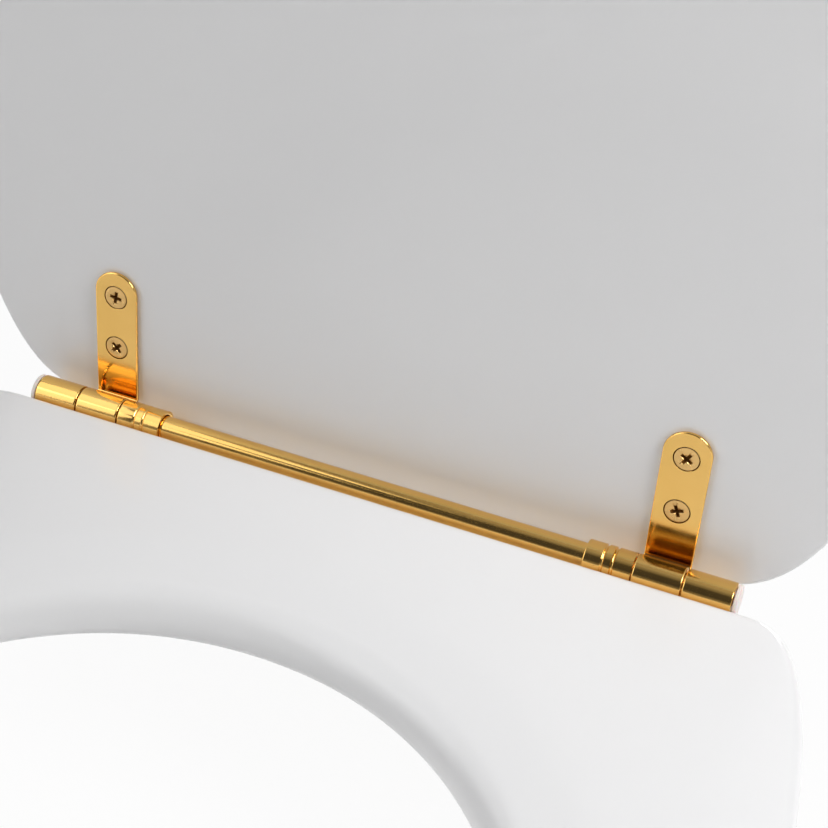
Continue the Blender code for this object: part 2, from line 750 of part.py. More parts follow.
def wing_nut(name, top, x):
    """Hub with two oval ears, bored for the stud."""
    bottom = top - NUT_HEIGHT
    profile = [(0, top), (NUT_HUB_RADIUS, top), (NUT_HUB_RADIUS * NUT_TAPER, bottom), (0, bottom)]
    nut = turned(name, profile, SMALL_STEPS, PARTS, None, "zinc_steel")
    nut.location = (x, 0, 0)
    ear_half = (WING_SPAN - NUT_HUB_RADIUS) / 4
    for side_name, side in SIDES.items():
        bm = bmesh.new()
        bmesh.ops.create_cone(
            bm, cap_ends=True, segments=SMALL_STEPS, radius1=1, radius2=1, depth=WING_THICKNESS
        )
        bmesh.ops.scale(bm, verts=bm.verts, vec=(ear_half, WING_HEIGHT / 2, 1))
        ear = new_object(f"{name}_ear_{side_name}", mesh_from_bmesh(f"{name}_ear", bm), CUTTERS)
        ear.location = (x + side * (WING_SPAN / 2 - ear_half), 0, top - WING_DROP)
        ear.rotation_euler = (math.pi / 2, 0, 0)
        cut(nut, ear, "UNION")
    bore = cylinder_cutter(
        name + "_bore", STUD_HOLE_RADIUS, bottom - CUTTER_MARGIN, top + CUTTER_MARGIN
    )
    bore.location.x = x
    cut(nut, bore)


def pan_fixing(side_name, x):
    """Everything that clamps one post to the pan, from the gasket down to the wing nut."""
    ring(f"base_gasket_{side_name}", x, FLANGE_RADIUS, GASKET_THICKNESS, 0, "dark_rubber")
    stud_bottom = STUD_TOP - STUD_LENGTH
    stud_profile = [
        (0, STUD_TOP),
        (STUD_RADIUS - STUD_CHAMFER, STUD_TOP),
        (STUD_RADIUS, STUD_TOP - STUD_CHAMFER),
        (STUD_RADIUS, stud_bottom + STUD_CHAMFER),
        (STUD_RADIUS - STUD_CHAMFER, stud_bottom),
        (0, stud_bottom),
    ]
    stud = turned(f"post_stud_{side_name}", stud_profile, SMALL_STEPS, PARTS, None, "zinc_steel")
    stud.location.x = x
    top = -PAN_THICKNESS
    bottom = top - BUSH_THICKNESS
    collar = (BUSH_COLLAR_RADIUS, BUSH_COLLAR_HEIGHT)
    ring(f"lower_bush_{side_name}", x, BUSH_RADIUS, top, bottom, "dark_rubber", collar)
    top = bottom - SEATING_GAP
    bottom = top - WASHER_THICKNESS
    ring(f"steel_washer_{side_name}", x, WASHER_RADIUS, top, bottom, "zinc_steel")
    wing_nut(f"wing_nut_{side_name}", bottom - SEATING_GAP, x)


def fit_leaf(board, prefix, side_name, x, centre_line, strap_reach, level, screw_reaches, screw, parent):
    """One hinge leaf and its screws, fixed to its board."""
    strap = leaf(f"{prefix}_leaf_{side_name}", centre_line, strap_reach, x, parent)
    fit_screws(board, strap, f"{prefix}_screw_{side_name}", screw_reaches, x, level, screw, parent)


def build():
    hinge_axis = new_axis("hinge_axis", (0, 0, AXIS_HEIGHT))
    seat_axis = new_axis("seat_axis", (0, 0, AXIS_HEIGHT))
    lid_axis = new_axis("lid_axis", (0, 0, AXIS_HEIGHT), -LID_OPEN_ANGLE)
    hinge_rod(hinge_axis)
    seat = seat_ring(seat_axis)
    lid = lid_board(lid_axis)
    screw = screw_mesh()
    for side_name, side in SIDES.items():
        post(side_name, side, hinge_axis)
        pan_fixing(side_name, side * POST_X)
        end_cap(side_name, side, hinge_axis)
        fit_leaf(
            lid,
            "lid",
            side_name,
            side * LID_LEAF_X,
            lid_centre_line(),
            LID_STRAP_REACH,
            LID_STRAP_LEVEL,
            LID_SCREW_REACHES,
            screw,
            lid_axis,
        )
        fit_leaf(
            seat,
            "seat",
            side_name,
            side * SEAT_LEAF_X,
            seat_centre_line(),
            SEAT_STRAP_REACH,
            SEAT_STRAP_LEVEL,
            SEAT_SCREW_REACHES,
            screw,
            seat_axis,
        )
    fit_buffers(
        seat,
        between(*seat_loops()[:2], 0.5),
        SEAT_BUFFER_TURNS,
        SEAT_BUFFER_RADIUS,
        SEAT_BOTTOM,
        AXIS_HEIGHT + SEAT_BOTTOM - SEATING_GAP,
        "seat",
        seat_axis,
    )
    fit_buffers(
        lid,
        offset(lid_loop(), LID_BUFFER_INSET),
        LID_BUFFER_TURNS,
        LID_BUFFER_RADIUS,
        LID_BOTTOM,
        LID_BOTTOM - SEAT_TOP - 2 * SEATING_GAP,
        "lid",
        lid_axis,
    )
    for obj in PARTS.objects:
        if obj.type == "MESH":
            smooth(obj)


build()
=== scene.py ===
"""Looks for the toilet seat: smooth lacquered boards, polished gold hinge and a white studio.

Metres, in the frame's own axes: X along the hinge, -Y to the front, +Z up. The lid is modelled as if it
were closed, in (x, -reach, height) from the hinge axis, and then turned to where it leans.
"""

import json
import math

import bmesh
import bpy
from mathutils import Matrix, Vector


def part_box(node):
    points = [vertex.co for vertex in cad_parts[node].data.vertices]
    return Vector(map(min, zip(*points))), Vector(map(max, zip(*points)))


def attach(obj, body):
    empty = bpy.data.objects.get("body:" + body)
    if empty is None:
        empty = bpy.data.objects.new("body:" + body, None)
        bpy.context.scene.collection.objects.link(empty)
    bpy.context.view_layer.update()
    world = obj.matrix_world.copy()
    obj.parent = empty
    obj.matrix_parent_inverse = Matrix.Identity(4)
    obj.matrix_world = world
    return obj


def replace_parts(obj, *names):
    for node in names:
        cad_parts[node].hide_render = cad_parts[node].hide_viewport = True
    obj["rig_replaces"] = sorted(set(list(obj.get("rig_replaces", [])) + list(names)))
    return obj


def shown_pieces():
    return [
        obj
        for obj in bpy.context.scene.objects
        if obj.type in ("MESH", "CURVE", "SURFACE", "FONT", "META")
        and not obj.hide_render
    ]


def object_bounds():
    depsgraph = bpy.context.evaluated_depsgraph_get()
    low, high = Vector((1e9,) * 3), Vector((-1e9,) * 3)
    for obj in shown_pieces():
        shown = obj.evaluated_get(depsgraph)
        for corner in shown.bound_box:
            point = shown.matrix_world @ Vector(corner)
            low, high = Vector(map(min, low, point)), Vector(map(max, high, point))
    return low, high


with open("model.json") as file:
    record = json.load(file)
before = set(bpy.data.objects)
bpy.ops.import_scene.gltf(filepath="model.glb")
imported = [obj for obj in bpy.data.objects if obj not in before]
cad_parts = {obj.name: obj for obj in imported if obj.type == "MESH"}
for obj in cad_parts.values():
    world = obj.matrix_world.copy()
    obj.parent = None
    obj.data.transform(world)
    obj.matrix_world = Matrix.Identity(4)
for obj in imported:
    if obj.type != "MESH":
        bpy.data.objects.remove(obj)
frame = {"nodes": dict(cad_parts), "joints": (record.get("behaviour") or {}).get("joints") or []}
CAD_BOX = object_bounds()

# Sizes read from the frame
HINGE = Vector(frame["joints"][0]["pos_m"])
SEAT_LOW, SEAT_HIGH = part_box("seat_ring")
ROD_LOW, ROD_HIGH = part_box("hinge_rod")
POST_LOW, POST_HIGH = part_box("post_right")
LEAF_LOW, LEAF_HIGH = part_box("lid_leaf_right")
SEAT_LEAF_LOW, SEAT_LEAF_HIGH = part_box("seat_leaf_right")
CAP_LOW, CAP_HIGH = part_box("end_cap_right")
SEAT_TOP = SEAT_HIGH.z - HINGE.z
SEAT_BOTTOM = SEAT_LOW.z - HINGE.z
SEAT_REAR = -SEAT_HIGH.y
SEAT_FRONT = -SEAT_LOW.y
SEAT_HALF = SEAT_HIGH.x
ROD_RADIUS = (ROD_HIGH.z - ROD_LOW.z) / 2
ROD_HALF = ROD_HIGH.x
SLEEVE_LENGTH = LEAF_HIGH.x - LEAF_LOW.x
POST_X = (POST_LOW.x + POST_HIGH.x) / 2
LID_LEAF_X = (LEAF_LOW.x + LEAF_HIGH.x) / 2
SEAT_LEAF_X = (SEAT_LEAF_LOW.x + SEAT_LEAF_HIGH.x) / 2
HEAD_RADIUS = POST_HIGH.z - HINGE.z
CAP_RADIUS = (CAP_HIGH.z - CAP_LOW.z) / 2
SIDES = {"left": -1, "right": 1}

# Clearances and the hinge's smaller sizes
GAP = 0.0003
SHEET = 0.0012
SHEET_RIM = 0.0004
SHEET_FACE_INSET = 0.0002
EYE_RADIUS = ROD_RADIUS + GAP + SHEET / 2
PILLAR_RADIUS = 0.0045
FLANGE_RADIUS = (POST_HIGH.y - POST_LOW.y) / 2
FLANGE_BOTTOM = POST_LOW.z
FLANGE_THICKNESS = 0.0025
PILLAR_TOP_DROP = 0.0002
GROOVE_SPACING = 0.0031
GROOVE_WIDTH = 0.0011
GROOVE_DEPTH = 0.0005
LID_STRAP_REACH = 0.0452
# Lower than the CAD's 3 mm, so that the bend hides behind the sleeve, as in the photo
LID_BEND_REACH = 0.0008
LID_BEND_RADIUS = 0.0016
LID_EYE_END = math.radians(415)
LID_SCREW_REACHES = {"upper": 0.0366, "lower": 0.0185}
SEAT_STRAP_REACH = 0.05
SEAT_EYE_END = math.radians(308)
SEAT_SCREW_REACHES = {"rear": 0.022, "front": 0.041}
SCREW_HEAD_RADIUS = 0.00375
SCREW_SHANK_RADIUS = 0.0016
SCREW_HEAD_HEIGHT = 0.0021
SCREW_LENGTH = 0.012
SCREW_POINT = 0.003
SCREW_TIP = 0.0004
SCREW_TIP_RADIUS = 0.00048
SCREW_EDGE_TOP = 0.00005
SCREW_EDGE_BOTTOM = 0.00025
# Painted shade in each screw head's recess and down its side: it starts this far in from the head's face
# and is whole at the next
SCREW_PAINTED_SHADE_FROM = 0.00003
SCREW_PAINTED_SHADE_FULL = 0.00006
SCREW_RIM = 0.00045
SCREW_CROWN = 0.00002
SCREW_TURNS = {"upper": 0.35, "lower": 1.0, "rear": 0.6, "front": 1.2}
SCREW_SIDE_TURN = 0.2
RECESS_SPAN = 0.0041
RECESS_WIDTH = 0.00105
RECESS_DEPTH = 0.00135
RECESS_RISE = 0.25
RECESS_TAPER = 0.45
RECESS_NARROWING = 0.45
CAP_THICKNESS = 0.0013
CAP_SPIGOT_RADIUS = 0.0017
CAP_DIMPLE = 0.0002
CAP_DIMPLE_FLOOR = 0.35
CAP_DIMPLE_EDGE = 0.45
CUTTER_MARGIN = 0.001
ROD_EASING = 0.0005
HEAD_EASING = 0.0004
PILLAR_EASING = 0.0012
SCREW_EASING = 0.0002
CAP_EASING = 0.0005

# Shape of the boards
SEAT_STRAIGHT_HALF = 0.1128
LID_STRAIGHT_HALF = 0.0984
FLARE = 0.016
WIDEST_REACH = 0.195
SEAT_CORNER_POWER = 4.6
LID_CORNER_POWER = 3.28
FRONT_POWER = 2.25
SEAT_ROUNDING = 0.004
OPENING_REACH = 0.182
OPENING_POWER = 2.05
SIDE_RIM = 0.0528
REAR_RIM = 0.0638
FRONT_RIM = 0.068
DISH_SIDE = 0.029
DISH_REAR = 0.027
DISH_FRONT = 0.026
DISH_SLOPE = math.radians(8.5)
DISH_SHOULDER_SHARE = 0.38
LIP_RADIUS = 0.0095
LID_BOTTOM = 0.01
LID_THICKNESS = 0.016
LID_REAR = -0.0036
LID_SIDE_OVERHANG = 0.0031
LID_FRONT_OVERHANG = 0.002
LID_BOTTOM_ROUNDING = 0.002
LID_TOP_ROUNDING = 0.006
LID_FLAT_INSET = 0.001
LID_ANGLE = math.radians(93)

# Mesh resolution and edges
OUTLINE_POINTS = 360
ROUND_STEPS = 96
SCREW_STEPS = 64
FILLET_STEPS = 8
DISH_STEPS = 16
STRAIGHT_STEPS = 40
CORNER_STEPS = 400
RIM_STEPS = 5
LEAF_END_STEPS = 24
SHARP_ANGLE = math.radians(38)
BEND_STEP = math.radians(5)
EASING_LIMIT = 0.45
TURN_WEIGHT = 0.12

LID_PLACE = Matrix.Translation(HINGE) @ Matrix.Rotation(-LID_ANGLE, 4, "X")
SEAT_PLACE = Matrix.Translation(HINGE)
LID_STRAP_LEVEL = LID_BOTTOM - GAP - SHEET / 2
SEAT_STRAP_LEVEL = SEAT_BOTTOM - GAP - SHEET / 2


# Mesh helpers


def new_piece(name, bm, material, place=Matrix.Identity(4)):
    """A smooth object from a bmesh whose flat faces stay flat in shading."""
    bmesh.ops.recalc_face_normals(bm, faces=bm.faces)
    mesh = bpy.data.meshes.new(name)
    bm.to_mesh(mesh)
    bm.free()
    obj = bpy.data.objects.new(name, mesh)
    bpy.context.scene.collection.objects.link(obj)
    obj.matrix_world = place
    if material:
        mesh.materials.append(material)
    finish_normals(obj)
    return obj


def shade(mesh):
    """Smooth shading, with the sharper edges kept."""
    mesh.shade_smooth()
    mesh.set_sharp_from_angle(angle=SHARP_ANGLE)


def finish_normals(obj):
    """Shading that keeps flat faces flat beside rounded edges."""
    shade(obj.data)
    weighted = obj.modifiers.new("weighted", "WEIGHTED_NORMAL")
    weighted.keep_sharp = True


def stand_for(piece, body, slot, *nodes):
    """The piece rides on a body and is shown instead of CAD nodes. The slot is not used."""
    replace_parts(piece, *nodes)
    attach(piece, body)


def skin(bm, rows, closed):
    """Quads between rows of vertices of equal count, each row a closed loop."""
    pairs = list(zip(rows, rows[1:]))
    if closed:
        pairs.append((rows[-1], rows[0]))
    for row_a, row_b in pairs:
        for i in range(len(row_a)):
            j = (i + 1) % len(row_a)
            bm.faces.new((row_a[i], row_a[j], row_b[j], row_b[i]))


def turned_bmesh(profile, steps=ROUND_STEPS):
    """A closed solid from (radius, height) points turned about Z. A profile off the axis makes a ring."""
    bm = bmesh.new()
    rows = []
    for radius, height in profile:
        if radius < 1e-7:
            rows.append([bm.verts.new((0, 0, height))])
            continue
        turns = [2 * math.pi * i / steps for i in range(steps)]
        rows.append([bm.verts.new((radius * math.cos(t), radius * math.sin(t), height)) for t in turns])
    pairs = list(zip(rows, rows[1:]))
    if len(rows[0]) > 1:
        pairs.append((rows[-1], rows[0]))
    for row_a, row_b in pairs:
        for i in range(steps):
            j = (i + 1) % steps
            if len(row_a) == 1:
                bm.faces.new((row_a[0], row_b[j], row_b[i]))
            elif len(row_b) == 1:
                bm.faces.new((row_a[i], row_a[j], row_b[0]))
            else:
                bm.faces.new((row_a[i], row_a[j], row_b[j], row_b[i]))
    return bm


def eased(profile, radius, steps=4):
    """The profile with each corner between its ends rounded, as far as the corner's two sides allow."""
    eased_points = [profile[0]]
    for previous, here, following in zip(profile, profile[1:], profile[2:]):
        corner = Vector(here)
        before = Vector(previous) - corner
        after = Vector(following) - corner
        reach = min(radius, before.length * EASING_LIMIT, after.length * EASING_LIMIT)
        start = corner + before.normalized() * reach
        end = corner + after.normalized() * reach
        for step in range(steps + 1):
            share = step / steps
            point = start * (1 - share) ** 2 + corner * 2 * share * (1 - share) + end * share**2
            eased_points.append((point.x, point.y))
    eased_points.append(profile[-1])
    return eased_points


def boolean(obj, other, operation):
    """Applies a Boolean for good and removes the other object."""
    modifier = obj.modifiers.new("boolean", "BOOLEAN")
    modifier.operation = operation
    modifier.solver = "EXACT"
    modifier.object = other
    weighted = obj.modifiers.get("weighted")
    if weighted:
        obj.modifiers.remove(weighted)
    bpy.context.view_layer.update()
    evaluated = obj.evaluated_get(bpy.context.evaluated_depsgraph_get())
    mesh = bpy.data.meshes.new_from_object(evaluated)
    obj.modifiers.clear()
    old = obj.data
    obj.data = mesh
    bpy.data.meshes.remove(old)
    bpy.data.objects.remove(other, do_unlink=True)
    finish_normals(obj)


# Boards


def board_outline(straight, half, corner_power, rear, front):
    """Half of a board's outline as dense (x, y) points, from the middle of its rear edge to its front."""
    points = [(straight * i / STRAIGHT_STEPS, -rear) for i in range(STRAIGHT_STEPS)]
    for i in range(CORNER_STEPS + 1):
        turn = math.pi / 2 * (1 - i / CORNER_STEPS)
        along = math.sin(turn) ** (2 / corner_power)
        corner = (half - FLARE - straight) * math.cos(turn) ** (2 / corner_power)
        x = straight + corner + FLARE * (1 - along**2)
        points.append((x, -WIDEST_REACH + (WIDEST_REACH - rear) * along))
    for i in range(1, CORNER_STEPS + 1):
        turn = math.pi / 2 * i / CORNER_STEPS
        x = half * max(math.cos(turn), 0) ** (2 / FRONT_POWER)
        y = -WIDEST_REACH - (front - WIDEST_REACH) * math.sin(turn) ** (2 / FRONT_POWER)
        points.append((x, y))
    return points


def spread_along(half, count):
    """A closed symmetric loop of count points, closer together where the outline turns more."""
    weights = [0.0]
    heading = None
    for (x0, y0), (x1, y1) in zip(half, half[1:]):
        step = math.hypot(x1 - x0, y1 - y0)
        turn = 0.0
        if step > 1e-9:
            new_heading = math.atan2(y1 - y0, x1 - x0)
            if heading is not None:
                turn = abs(new_heading - heading)
            heading = new_heading
        weights.append(weights[-1] + step + turn * TURN_WEIGHT)
    side = []
    index = 0
    for i in range(count // 2 + 1):
        target = weights[-1] * i / (count // 2)
        while index < len(weights) - 2 and weights[index + 1] < target:
            index += 1
        span = weights[index + 1] - weights[index]
        share = (target - weights[index]) / span if span > 0 else 0
        (x0, y0), (x1, y1) = half[index], half[index + 1]
        side.append((x0 + (x1 - x0) * share, y0 + (y1 - y0) * share))
    side[0] = (0.0, half[0][1])
    side[-1] = (0.0, half[-1][1])
    return side + [(-x, y) for x, y in reversed(side[1:-1])]


def offset(loop, distance):
    """The loop moved inwards by the distance. It runs clockwise as seen from above."""
    moved = []
    for i, (x, y) in enumerate(loop):
        x0, y0 = loop[i - 1]
        x1, y1 = loop[(i + 1) % len(loop)]
        length = math.hypot(x1 - x0, y1 - y0)
        moved.append((x + (y1 - y0) / length * distance, y - (x1 - x0) / length * distance))
    return moved


def oval(angles, half_width, rear_length, front_length):
    """The opening's outline, or a larger one like it, as a point at each angle from its middle."""
    loop = []
    for angle in angles:
        length = rear_length if math.sin(angle) >= 0 else front_length
        across = abs(math.cos(angle) / half_width) ** OPENING_POWER
        along = abs(math.sin(angle) / length) ** OPENING_POWER
        radius = (across + along) ** (-1 / OPENING_POWER)
        loop.append((radius * math.cos(angle), radius * math.sin(angle) - OPENING_REACH))
    return loop


def between(loop_a, loop_b, share):
    """The loop that lies a share of the way from the first to the second."""
    return [(xa + (xb - xa) * share, ya + (yb - ya) * share) for (xa, ya), (xb, yb) in zip(loop_a, loop_b)]


def quarter(steps):
    """(inset share, drop share) of a quarter round, from its start on the side to its end on the flat."""
    turns = [math.pi / 2 * i / steps for i in range(steps + 1)]
    return [(1 - math.cos(turn), 1 - math.sin(turn)) for turn in turns]


def row_of(bm, loop, heights):
    """A row of vertices over the loop, at one height or at a height for each."""
    if not isinstance(heights, list):
        heights = [heights] * len(loop)
    return [bm.verts.new((x, y, z)) for (x, y), z in zip(loop, heights)]


def dish_fall(share):
    """How far down the dish is at a share of its width, where 1 is a straight slope's whole fall."""
    if share < DISH_SHOULDER_SHARE:
        return share**2 / (2 * DISH_SHOULDER_SHARE)
    return share - DISH_SHOULDER_SHARE / 2


def make_seat(material):
    """The ring, as rows of points from the outside over the dish and the lip to the underside."""
    half = board_outline(SEAT_STRAIGHT_HALF, SEAT_HALF, SEAT_CORNER_POWER, SEAT_REAR, SEAT_FRONT)
    outer = spread_along(half, OUTLINE_POINTS)
    angles = [math.atan2(y + OPENING_REACH, x) for x, y in outer]
    half_width = SEAT_HALF - SIDE_RIM
    rear_length = OPENING_REACH - SEAT_REAR - REAR_RIM
    front_length = SEAT_FRONT - FRONT_RIM - OPENING_REACH
    inner = oval(angles, half_width, rear_length, front_length)
    dish = oval(angles, half_width + DISH_SIDE, rear_length + DISH_REAR, front_length + DISH_FRONT)
    lip = offset(inner, -LIP_RADIUS * (1 - math.sin(DISH_SLOPE)))
    falls = [
        math.hypot(xd - xl, yd - yl) * math.tan(DISH_SLOPE)
        for (xd, yd), (xl, yl) in zip(dish, lip)
    ]
    bm = bmesh.new()
    rows = []
    for inset, drop in reversed(quarter(FILLET_STEPS)):
        rows.append(row_of(bm, offset(outer, SEAT_ROUNDING * inset), SEAT_BOTTOM + SEAT_ROUNDING * drop))
    for inset, drop in quarter(FILLET_STEPS):
        rows.append(row_of(bm, offset(outer, SEAT_ROUNDING * inset), SEAT_TOP - SEAT_ROUNDING * drop))
    for step in range(DISH_STEPS + 1):
        share = step / DISH_STEPS
        heights = [SEAT_TOP - fall * dish_fall(share) for fall in falls]
        rows.append(row_of(bm, between(dish, lip, share), heights))
    for step in range(1, FILLET_STEPS + 1):
        turn = DISH_SLOPE + (math.pi / 2 - DISH_SLOPE) * step / FILLET_STEPS
        lip_drop = LIP_RADIUS * (math.cos(DISH_SLOPE) - math.cos(turn))
        heights = [SEAT_TOP - fall * dish_fall(1) - lip_drop for fall in falls]
        rows.append(row_of(bm, offset(inner, -LIP_RADIUS * (1 - math.sin(turn))), heights))
    for inset, drop in quarter(FILLET_STEPS):
        rows.append(row_of(bm, offset(inner, -SEAT_ROUNDING * inset), SEAT_BOTTOM + SEAT_ROUNDING * drop))
    skin(bm, rows, closed=True)
    piece = new_piece("seat_lacquered", bm, material, SEAT_PLACE)
    stand_for(piece, "seat", "white_lacquer", "seat_ring")


def make_lid(material):
    """The board, as rows of points from the face that meets the seat round the edge to the top."""
    half = board_outline(
        LID_STRAIGHT_HALF,
        SEAT_HALF + LID_SIDE_OVERHANG,
        LID_CORNER_POWER,
        LID_REAR,
        SEAT_FRONT + LID_FRONT_OVERHANG,
    )
    outer = spread_along(half, OUTLINE_POINTS)
    bm = bmesh.new()
    rows = []
    rows.append(row_of(bm, offset(outer, LID_BOTTOM_ROUNDING + LID_FLAT_INSET), LID_BOTTOM))
    for inset, drop in reversed(quarter(FILLET_STEPS)):
        level = LID_BOTTOM + LID_BOTTOM_ROUNDING * drop
        rows.append(row_of(bm, offset(outer, LID_BOTTOM_ROUNDING * inset), level))
    for inset, drop in quarter(FILLET_STEPS):
        level = LID_BOTTOM + LID_THICKNESS - LID_TOP_ROUNDING * drop
        rows.append(row_of(bm, offset(outer, LID_TOP_ROUNDING * inset), level))
    rows.append(row_of(bm, offset(outer, LID_TOP_ROUNDING + LID_FLAT_INSET), LID_BOTTOM + LID_THICKNESS))
    skin(bm, rows, closed=False)
    bm.faces.new(rows[0])
    bm.faces.new(rows[-1])
    piece = new_piece("lid_lacquered", bm, material, LID_PLACE)
    stand_for(piece, "lid", "white_lacquer", "lid_board")


# Hinge leaves, bent from a flat blank


def run_of(start, runs):
    """The centre line of a bent sheet, which sets out towards the rod and follows (length, turn) runs."""
    position = Vector(start)
    heading = math.pi
    pieces = []
    travelled = 0.0
    for length, turn in runs:
        pieces.append((travelled, length, turn, position.copy(), heading))
        if turn:
            radius = length / turn
            centre = position + Vector((-math.sin(heading), math.cos(heading))) * radius
            heading += turn
            position = centre - Vector((-math.sin(heading), math.cos(heading))) * radius
        else:
            position = position + Vector((math.cos(heading), math.sin(heading))) * length
        travelled += length
    return pieces, travelled


def bent(pieces, distance, height):
    """(reach, level) of a point of the sheet, by its distance along and its height off the centre line."""
    piece = pieces[0]
    for candidate in pieces:
        if distance >= candidate[0] - 1e-9:
            piece = candidate
    begun, length, turn, position, heading = piece
    along = distance - begun
    if turn:
        radius = length / turn
        centre = position + Vector((-math.sin(heading), math.cos(heading))) * radius
        heading += along / radius
        position = centre - Vector((-math.sin(heading), math.cos(heading))) * radius
    else:
        position = position + Vector((math.cos(heading), math.sin(heading))) * along
    normal = Vector((math.sin(heading), -math.cos(heading)))
    return position + normal * height


def sheet_stations(pieces, total, start):
    """Distances along the blank, close together where it bends."""
    stations = [start]
    for begun, length, turn, _, _ in pieces:
        count = max(2, math.ceil(abs(turn) / BEND_STEP))
        for i in range(1, count + 1):
            distance = begun + length * i / count
            if distance > stations[-1] + 1e-5:
                stations.append(distance)
    stations[-1] = total
    return stations


def leaf_bmesh(pieces, total):
    """A leaf with a round end and rounded rims, its flat blank bent along the pieces."""
    half = SLEEVE_LENGTH / 2
    stations = sheet_stations(pieces, total, half)
    profile = [(SHEET_RIM + SHEET_FACE_INSET, SHEET / 2)]
    profile += [(SHEET_RIM * (1 - math.cos(t)), SHEET / 2 - SHEET_RIM * (1 - math.sin(t)))
                for t in [math.pi / 2 * (1 - i / RIM_STEPS) for i in range(RIM_STEPS + 1)]]
    profile += [(inset, -height) for inset, height in reversed(profile)]
    bm = bmesh.new()
    rows = []
    for inset, height in profile:
        side = []
        for distance in reversed(stations):
            distance = min(distance, total - inset)
            side.append((half - inset, distance))
        for i in range(1, LEAF_END_STEPS):
            turn = math.pi / 2 * i / LEAF_END_STEPS
            side.append(((half - inset) * math.cos(turn), half - (half - inset) * math.sin(turn)))
        loop = side + [(0.0, inset)] + [(-x, distance) for x, distance in reversed(side)]
        row = []
        for x, distance in loop:
            reach, level = bent(pieces, distance, height)
            row.append(bm.verts.new((x, -reach, level)))
        rows.append(row)
    skin(bm, rows, closed=False)
    for row in (rows[0], rows[-1]):
        last = len(row) - 1
        middle = last // 2
        for i in range(middle - 1):
            bm.faces.new((row[i], row[i + 1], row[last - i - 1], row[last - i]))
        bm.faces.new((row[middle - 1], row[middle], row[middle + 1]))
    return bm


def lid_runs():
    """Along the lid, a bend towards the rod, a straight that meets the sleeve, and the roll."""
    reach = math.hypot(LID_BEND_REACH, LID_STRAP_LEVEL)
    slope = math.atan2(LID_STRAP_LEVEL, LID_BEND_REACH) + math.acos(EYE_RADIUS / reach) - math.pi / 2
    trim = LID_BEND_RADIUS * math.tan(slope / 2)
    climb = math.sqrt(reach**2 - EYE_RADIUS**2)
    roll = LID_EYE_END - math.pi / 2 - slope
    runs = [
        (LID_STRAP_REACH - LID_BEND_REACH - trim, 0.0),
        (LID_BEND_RADIUS * slope, slope),
        (climb - trim, 0.0),
        (EYE_RADIUS * roll, roll),
    ]
    return run_of((LID_STRAP_REACH, LID_STRAP_LEVEL), runs)


def seat_runs():
    """Along the seat's underside, up its rear edge, and the roll."""
    bend = SEAT_ROUNDING + GAP + SHEET / 2
    runs = [
        (SEAT_STRAP_REACH - EYE_RADIUS - bend, 0.0),
        (bend * math.pi / 2, -math.pi / 2),
        (-SEAT_STRAP_LEVEL - bend, 0.0),
        (EYE_RADIUS * SEAT_EYE_END, SEAT_EYE_END),
    ]
    return run_of((SEAT_STRAP_REACH, SEAT_STRAP_LEVEL), runs)


def make_leaf(name, node, body, runs, x, level, reaches, place, material):
    """A leaf with a countersink for each screw."""
    piece = new_piece(name, leaf_bmesh(*runs), material, place @ Matrix.Translation((x, 0, 0)))
    for reach in reaches:
        head = SCREW_HEAD_RADIUS + GAP
        shank = SCREW_SHANK_RADIUS + GAP
        low = level - SHEET / 2 - CUTTER_MARGIN
        sink = turned_bmesh([
            (0, level + SHEET),
            (shank, level + SHEET),
            (shank, level - SHEET / 2 + SCREW_HEAD_HEIGHT + GAP),
            (head, level - SHEET / 2 + GAP),
            (head, low),
            (0, low),
        ], SCREW_STEPS)
        cutter = new_piece("sink", sink, None, place @ Matrix.Translation((x, -reach, 0)))
        boolean(piece, cutter, "DIFFERENCE")
    stand_for(piece, body, "polished_gold", node)


# Screws


def cross_bmesh():
    """A cross that leaves a driver's recess in a screw head, shorter and narrower on the way in."""
    bm = bmesh.new()
    rows = []
    for depth_share in (-RECESS_RISE, 1.0):
        scale = 1 - (1 - RECESS_TAPER) * depth_share
        a = RECESS_SPAN * scale / 2
        b = RECESS_WIDTH * (1 - RECESS_NARROWING * (1 - scale)) / 2
        corners = [(a, -b), (a, b), (b, b), (b, a), (-b, a), (-b, b)]
        corners += [(-x, -y) for x, y in corners]
        rows.append([bm.verts.new((x, y, RECESS_DEPTH * depth_share)) for x, y in corners])
    skin(bm, rows, closed=False)
    bm.faces.new(rows[0])
    bm.faces.new(rows[1])
    return bm


def screw_object(material):
    """Countersunk screw, its head at z = 0 facing -Z and its point up."""
    profile = [(0, SCREW_LENGTH), (SCREW_TIP_RADIUS, SCREW_LENGTH - SCREW_TIP)]
    profile += [(SCREW_SHANK_RADIUS, SCREW_LENGTH - SCREW_POINT), (SCREW_SHANK_RADIUS, SCREW_HEAD_HEIGHT)]
    profile += eased([
        (SCREW_SHANK_RADIUS, SCREW_HEAD_HEIGHT),
        (SCREW_HEAD_RADIUS, SCREW_EDGE_BOTTOM),
        (SCREW_HEAD_RADIUS, SCREW_EDGE_TOP),
        (SCREW_HEAD_RADIUS - SCREW_RIM, 0.0),
        (SCREW_HEAD_RADIUS * 0.5, SCREW_CROWN / 2),
        (0, SCREW_CROWN),
    ], SCREW_EASING)[1:]
    screw = new_piece("screw", turned_bmesh(profile, SCREW_STEPS), material)
    star = new_piece("star", cross_bmesh(), None)
    boolean(screw, star, "DIFFERENCE")
    return screw


